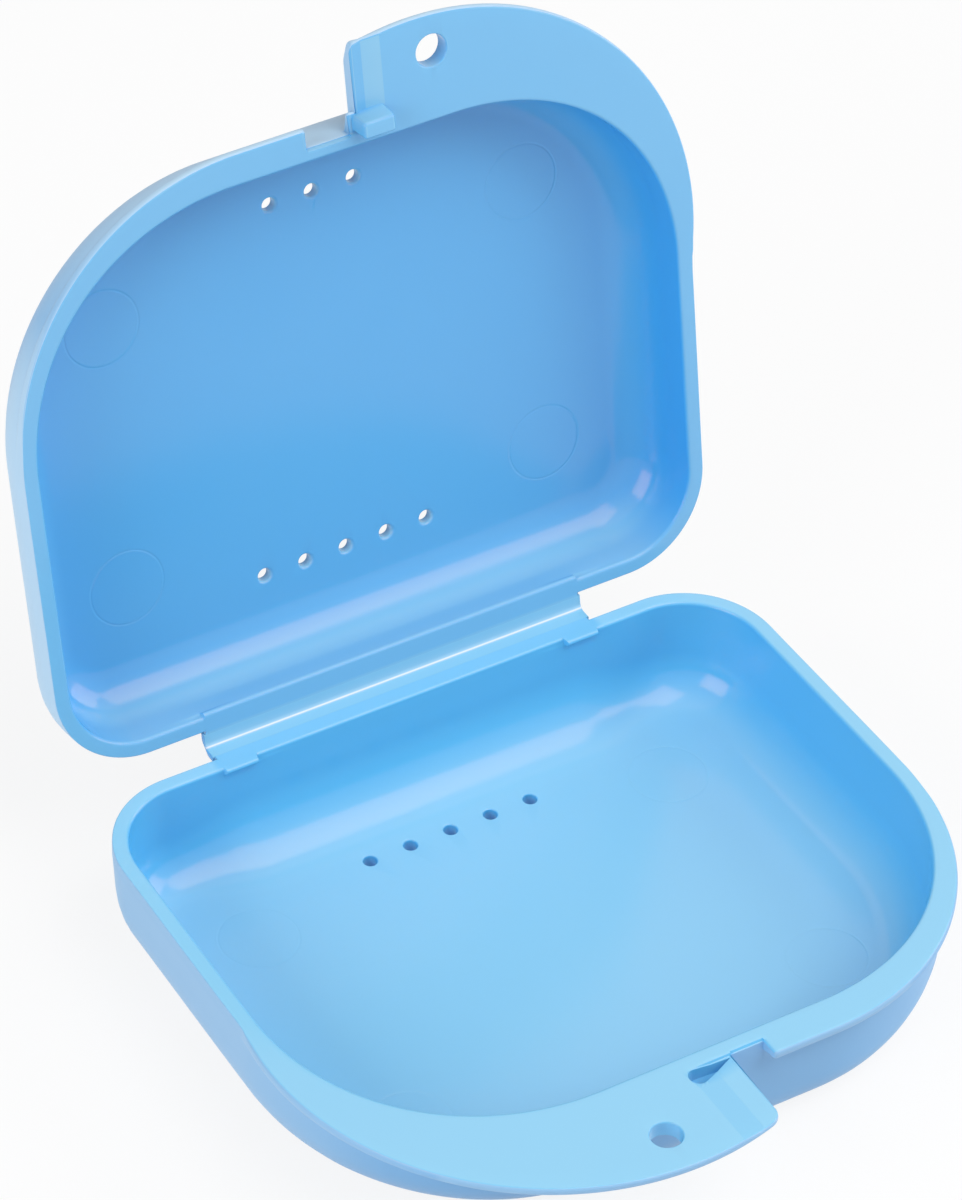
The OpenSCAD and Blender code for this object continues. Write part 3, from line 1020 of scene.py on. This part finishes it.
    def _pocket(self) -> Solid:
        """The slot behind the tab: the hull of a small circle and a point near the step, carried upright.

        Returns:
            Points and outward faces.
        """
        middle = np.array([self.pocket_at[0], self.front_y - self.pocket_at[1]])
        tip = np.array([self.pocket_tip[0], self.front_y - self.pocket_tip[1]])
        gap = tip - middle
        face = math.atan2(gap[1], gap[0])
        open_by = math.acos(self.pocket_r / float(np.linalg.norm(gap)))
        angle = np.linspace(face + open_by, face + 2.0 * math.pi - open_by, 26)
        circle = middle + self.pocket_r * np.stack([np.cos(angle), np.sin(angle)], 1)
        outline = np.concatenate([circle, tip[None]])
        n = len(outline)
        heights = (self.height - self.pocket_depth, self.height + 0.6)
        rings = [np.column_stack([outline, np.full(n, z)]) for z in heights]
        return np.concatenate(rings), tube_faces(2, n)


@dataclass
class Tongue:
    """The latch tongue: a block with rounded edges that stands on the lid's rim."""

    finish: Plastic
    x: tuple[float, float] = (1.15, 4.9)
    y: tuple[float, float] = (-32.1, -30.25)
    root_z: float = 14.4
    tip_z: float = 11.8
    edge_r: float = 0.4
    back_share: float = 0.7
    wedge: float = 0.45
    # Painted light on the tongue's faces, and a painted reflection on its leaning side
    light_and_shade: LightAndShade = LightAndShade(floor=0.7, rim=0.7, strap=0.0, slope=0.3)

    def build(self) -> bpy.types.Object:
        """Carries a U-shaped section along X; at both ends it shrinks by a quarter round towards its middle.

        The outer side leans out towards its root, by nothing at the left end and by the wedge at the right end.

        Returns:
            The dressed tongue, on the open lid.
        """
        low, high = self.y
        keys = np.array([[[high, self.root_z], [high, self.tip_z], [low, self.tip_z], [low, self.root_z]]])
        reach = np.array([[0.0, self.edge_r * self.back_share, self.edge_r, 0.0]])
        section = rounded_path(keys, reach, [1, 7, 7, 1], [2, 2, 2])[0]
        angle = np.radians(np.linspace(0.0, 90.0, 7))
        inset = self.edge_r * (1.0 - np.cos(angle))
        x = np.concatenate([self.x[0] + self.edge_r * (1.0 - np.sin(angle[::-1])), [0.5 * sum(self.x)],
                            self.x[1] - self.edge_r * (1.0 - np.sin(angle))])
        shrink = np.concatenate([inset[::-1], [0.0], inset])
        middle = np.array([0.5 * (low + high), self.root_z])
        half = np.array([0.5 * (high - low), self.root_z - self.tip_z])
        scaled = middle + (section - middle)[None] * (1.0 - shrink[:, None] / half[None])[:, None, :]
        n = section.shape[0]
        lean = self.wedge * smooth(*self.x, x)[:, None]
        lean = lean * (scaled[..., 1] - self.tip_z) / (self.root_z - self.tip_z)
        scaled[..., 0] -= lean * (scaled[..., 0] < middle[0])
        points = np.concatenate([np.repeat(x[:, None], n, 1)[..., None], scaled], 2).reshape(-1, 3)
        piece = make_mesh("latch_tongue_block", swing_open(points), tube_faces(len(x), n))
        recalculate(piece)
        piece.data.materials.append(self.finish.build())
        soften(piece, SMALL_SHARP)
        paint_light_and_shade(piece, Turn.OPEN_LID, self.light_and_shade)
        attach(piece, "lid")
        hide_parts("latch_tongue")
        return piece


@dataclass
class Film:
    """The hinge film: a thin strip that runs from the base's leaf round the fold to the lid's leaf."""

    finish: Plastic
    half_length: float = 23.2
    overlap: float = 1.5
    bend: float = 0.6
    leaf_t: float = 0.74
    film_t: float = 0.42
    leaf_at: float = 1.4
    proud: float = 0.006
    end_r: float = 0.12
    columns: int = 24
    # Width and strength of the pale fold line, stress whitening with a painted highlight, and of the painted
    # highlight that fades out on the lid's side
    line_w: float = 0.1
    line_tone: float = 0.9
    lid_fade_w: float = 0.5
    lid_fade_tone: float = 0.25
    # Painted light and shade on the strip, with a lighter strap next to the fold
    light_and_shade: LightAndShade = LightAndShade(floor=0.62, rim=0.62, strap=0.85, slope=0.0)

    def _inner_face(self) -> Array:
        """The inner face across the fold: along the base's rim plane, round a circular bend, along the lid's.

        Returns:
            Places in Y and Z from the fold, from the base's end to the lid's, count by two.
        """
        open_by = math.radians(LID_OPEN)
        lift = RIM_GAP / 2.0 - self.proud
        along = np.array([-math.cos(open_by), math.sin(open_by)])
        across = np.array([math.sin(open_by), math.cos(open_by)])
        start = np.array([-self.overlap, -lift])
        corner = np.array([lift / math.tan(open_by / 2.0), -lift])
        end = along * self.overlap + across * lift
        reach = np.array([[0.0, self.bend, 0.0]])
        return rounded_path(np.array([[start, corner, end]]), reach, [1, 23, 1], [8, 8])[0]

    def _mark_fold(self, piece: bpy.types.Object, inner: Array, count: int) -> None:
        """Writes the crease attribute: how pale the inner face is, from 0 to 1.

        It is a bell curve of the distance from the fold, stress whitening with a painted highlight along the
        fold line, or an exponential fade on the lid's side where that is more, a painted highlight. The outer
        face stays as it is.

        Args:
            piece: The strip.
            inner: Places along its inner face.
            count: Sections along the strip.
        """
        run = np.cumsum(np.append(0.0, np.linalg.norm(np.diff(inner, axis=0), axis=1)))
        off = run - run[len(run) // 2]
        line = self.line_tone * np.exp(-(off / self.line_w) ** 2)
        fade = self.lid_fade_tone * np.exp(-np.maximum(off, 0.0) / self.lid_fade_w) * (off > 0.0)
        pale = np.maximum(line, fade)
        write_values(piece, "fold_whitening_and_highlight", np.tile(np.append(pale, np.zeros_like(pale)), count))

    def build(self) -> bpy.types.Object:
        """Carries the strip's closed section along the fold line.

        The outer face is the inner one moved along its normal by the thickness, which thins by a cosine towards
        the fold. The section shrinks by a quarter round at both ends.

        Returns:
            The dressed film, at the fold between the base's leaf and the lid's.
        """
        inner = self._inner_face()
        step = np.gradient(inner, axis=0)
        normal = np.stack([step[:, 1], -step[:, 0]], 1) / np.linalg.norm(step, axis=1)[:, None]
        q = np.linspace(-1.0, 1.0, len(inner))
        to_leaf = 0.5 - 0.5 * np.cos(math.pi * np.clip(q * self.leaf_at, -1, 1))
        thick = self.film_t + (self.leaf_t - self.film_t) * to_leaf
        section = np.concatenate([inner, (inner + normal * thick[:, None])[::-1]])
        n = len(section)
        angle = np.radians(np.linspace(0.0, 90.0, 5))
        rounding = self.end_r * (1.0 - np.cos(angle))
        ends = self.half_length - self.end_r * (1.0 - np.sin(angle))
        even = np.linspace(-self.half_length + 1.0, self.half_length - 1.0, self.columns)
        x = np.concatenate([-ends[::-1], even, ends])
        shrink = np.concatenate([rounding[::-1], np.zeros(self.columns), rounding])
        core = inner + normal * thick[:, None] * 0.5
        middle = np.concatenate([core, core[::-1]])
        half = np.concatenate([thick, thick[::-1]]) * 0.5
        pull = 1.0 - np.minimum(shrink[:, None] / half[None], 0.9)
        flat = middle[None] + (section - middle)[None] * pull[..., None]
        across_x = np.repeat(x[:, None], n, 1)[..., None]
        points = np.concatenate([across_x, flat + np.array(FOLD)], 2).reshape(-1, 3)
        piece = make_mesh("hinge_film_strip", points, tube_faces(len(x), n))
        recalculate(piece)
        piece.data.materials.append(self.finish.build())
        soften(piece, SMALL_SHARP)
        paint_light_and_shade(piece, Turn.OPEN_LID, self.light_and_shade)
        self._mark_fold(piece, inner, len(x))
        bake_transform(piece)
        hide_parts("hinge_film")
        return piece


@dataclass
class Studio:
    """A white table in soft light, and the camera."""

    camera_at: tuple[float, float, float] = (-272.4, -400.7, 479.7)
    azimuth: float = -33.02
    elevation: float = 41.52
    roll: float = 2.93
    focal_pixels: float = 6512.5
    target: tuple[float, float, float] = (0.0, 0.0, 30.0)
    table_half: float = 3000.0
    table_z: float = -0.05
    table_grey: float = 0.86
    table_glow: float = 0.85
    room_light: float = 0.33

    def build(self) -> None:
        """Makes the camera, the floor, the world and the lamps."""
        self._camera()
        self._floor()
        self._world()
        self._lamp("overhead softbox", (250.0, -420.0, 900.0), (700.0, 700.0), 5.0)
        self._lamp("left fill", (-800.0, -150.0, 420.0), (600.0, 600.0), 4.7)
        self._lamp("right fill", (800.0, -250.0, 380.0), (600.0, 600.0), 3.9)
        bpy.context.scene.view_settings.view_transform = "Standard"

    def _camera(self) -> None:
        """Places the camera by its bearings; its lens follows from the focal length in pixels."""
        a, e, r = (math.radians(v) for v in (self.azimuth, self.elevation, self.roll))
        right = np.array([math.cos(a), math.sin(a), 0.0])
        back = np.array([math.sin(a) * math.cos(e), -math.cos(a) * math.cos(e), math.sin(e)])
        up = np.cross(back, right)
        right, up = math.cos(r) * right + math.sin(r) * up, -math.sin(r) * right + math.cos(r) * up
        data = bpy.data.cameras.new("photo_view")
        data.sensor_fit, data.sensor_height = "VERTICAL", SENSOR_HEIGHT
        data.lens = SENSOR_HEIGHT * self.focal_pixels / IMAGE_HEIGHT
        data.clip_start, data.clip_end = 0.01, 20.0
        camera = bpy.data.objects.new("photo_view", data)
        set_axes(camera, (right, up, back), np.array(self.camera_at) * MM)
        bpy.context.scene.camera = camera

    def _floor(self) -> None:
        """A wide flat grid whose finish shows white to the camera and keeps a faint shadow."""
        side = 5
        u = np.linspace(-self.table_half, self.table_half, side)
        x, y = np.meshgrid(u, u)
        points = np.stack([x, y, np.full_like(x, self.table_z)], 2).reshape(-1, 3)
        i, j = np.meshgrid(np.arange(side - 1), np.arange(side - 1))
        first = (j * side + i).ravel()
        faces = np.stack([first, first + 1, first + side + 1, first + side], 1).tolist()
        floor = make_mesh("table", points, faces)
        material = bpy.data.materials.new("white_table")
        material.use_nodes = True
        g = Graph(material.node_tree)
        diffuse = g.node("ShaderNodeBsdfDiffuse", None, {"Color": (*[self.table_grey] * 3, 1.0)})
        glow = g.node("ShaderNodeEmission", None, {"Color": WHITE, "Strength": 1.0})
        surface = g.node("ShaderNodeMixShader", None, {0: g.seen() * self.table_glow, 1: diffuse, 2: glow})
        g.node("ShaderNodeOutputMaterial", None, {"Surface": surface})
        floor.data.materials.append(material)

    def _world(self) -> None:
        """An even white surround, softer as a light than it looks."""
        world = bpy.data.worlds.new("white_room")
        bpy.context.scene.world = world
        world.use_nodes = True
        g = Graph(world.node_tree)
        light = g.node("ShaderNodeBackground", None, {"Color": WHITE, "Strength": self.room_light})
        shown = g.node("ShaderNodeBackground", None, {"Color": WHITE, "Strength": 1.0})
        surface = g.node("ShaderNodeMixShader", None, {0: g.seen(), 1: light, 2: shown})
        g.node("ShaderNodeOutputWorld", None, {"Surface": surface})

    def _lamp(self, name: str, at: tuple[float, float, float], size: tuple[float, float], power: float) -> None:
        """Adds a softbox that faces the case.

        Args:
            name: Name of the lamp.
            at: Its place in millimetres.
            size: Width and height in millimetres.
            power: Power in watts.
        """
        data = bpy.data.lights.new(name, "AREA")
        data.shape, data.size, data.size_y, data.energy = "RECTANGLE", size[0] * MM, size[1] * MM, power
        lamp = bpy.data.objects.new(name, data)
        place = np.array(at) * MM
        back = place - np.array(self.target) * MM
        back = back / np.linalg.norm(back)
        right = np.cross([0.0, 0.0, 1.0], back)
        right = right / np.linalg.norm(right)
        set_axes(lamp, (right, np.cross(back, right), back), place)


def on_lid(x: float, y: float, z: float) -> tuple[float, float, float]:
    """Place of one point of the shut lid on the open lid."""
    return tuple(swing_open(np.array([[x, y, z]]))[0].tolist())


PIN_PLAN = ((-26.0, 17.6), (25.0, 18.2), (-25.5, -13.0), (24.7, -13.5))
# One plastic for both shells, inside and out: each finish's shaded colour is painted shade and its open colour
# painted light, set apart per shell and side to stand in for how light falls there
BASE_INSIDE = Plastic(
    name="base_inside", shaded="5BB7E9", open="8FCDEC", roughness=0.16, roughness_play=0.05, skin_scale=1500.0,
    skin_depth=6e-7, wave_depth=6e-6, pins=tuple((x, y, BASE_FLOOR_Z) for x, y in PIN_PLAN), ring_depth=0.015)
LID_INSIDE = replace(BASE_INSIDE, name="lid_inside", shaded="44A5E4", open="85C0E2", ring_depth=0.03,
                     pins=tuple(on_lid(x, y, LID_TOP_Z) for x, y in PIN_PLAN))
# The film's crease colour is stress whitening along the fold with a painted highlight on it
FILM = replace(LID_INSIDE, name="film_skin", open="86C6E6", pins=(), fold_whitening_and_highlight="DDE8F6")
BASE_OUTSIDE = Plastic(
    name="base_outside", shaded="7AB2DF", open="9AC4E4", roughness=0.4, roughness_play=0.06, skin_scale=2600.0,
    skin_depth=4e-6, wave_depth=8e-6)
# The lid's outside has a paler open colour: painted light that lifts the faces seen through the notch out of
# the tab's shadow
LID_OUTSIDE = replace(BASE_OUTSIDE, name="lid_outside", open="B9DAF0")


def base_shell() -> Shell:
    """The deep half that stands on the table."""
    return Shell(
        name="base_shell", body="base", turn=Turn.TAB_LEFT,
        stands_for=("base_floor", "base_wall", "base_thumb_tab", "base_hinge_leaf", "hinge_ears"),
        height=13.8, step_x=-1.05, notch=(-5.0, -1.0), slope=(1.4, 4.25), drop=0.3,
        tab_corner_r=1.9, tab_centre=(9.0, -9.8), end_rib=0.0, lanyard=(10.6, -36.55), lanyard_r=1.7,
        vents=((5, 22.1),), vent_flare=0.2, front_wall=2.0, back_fillet_r=8.2, lean=1.1,
        spread=0.005, narrowing=0.016,
        pads=(Pad(19.2, 23.2, 0.5, 0.5, 0.0), Pad(-1.0, 19.2, -0.3, 0.5, -0.25)),
        # Painted light and shade: a darker strap and tab slope, and painted light on the outer face on the left
        light_and_shade=LightAndShade(floor=0.0, rim=0.0, strap=0.5, slope=-0.2, strap_ends=3.9, left=0.4),
        inner=BASE_INSIDE, outer=BASE_OUTSIDE, pocket=True)


def lid_shell() -> Shell:
    """The shallow half, swung open."""
    return Shell(
        name="lid_shell", body="lid", turn=Turn.OPEN_LID,
        stands_for=("lid_top", "lid_wall", "lid_thumb_tab", "lid_hinge_leaf", "lid_hinge_rib"),
        height=10.2, step_x=1.65, notch=(-4.4, 0.75), slope=(2.95, 4.9), drop=0.4,
        tab_corner_r=0.8, tab_centre=(9.0, -9.05), end_rib=0.4, lanyard=(10.8, -36.5),
        vents=((5, 22.1), (3, -20.5)), vent_flare=0.35, vent_sink=0.45, front_wall=1.45,
        edge_r=8.2, edge_play=0.8, edge_most=8.2,
        pads=(Pad(-1.0, 23.2, 0.35, 0.5, 0.3),),
        # Painted light and shade: lighter floor, rim and strap, a painted reflection on the tab's slope,
        # painted light on the vents' walls and the outer face on the left
        light_and_shade=LightAndShade(floor=0.31, rim=0.62, strap=0.85, slope=0.38, vent=1.0, left=0.68),
        inner=LID_INSIDE, outer=LID_OUTSIDE)


def main() -> None:
    """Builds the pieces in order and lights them."""
    logging.basicConfig(level=logging.INFO, format="%(message)s")
    for maker in (base_shell(), lid_shell(), Tongue(LID_INSIDE), Film(FILM)):
        piece = maker.build()
        LOG.info("%s: %d faces", piece.name, len(piece.data.polygons))
    Studio().build()
    LOG.info("studio ready")


if __name__ == "__main__":
    main()
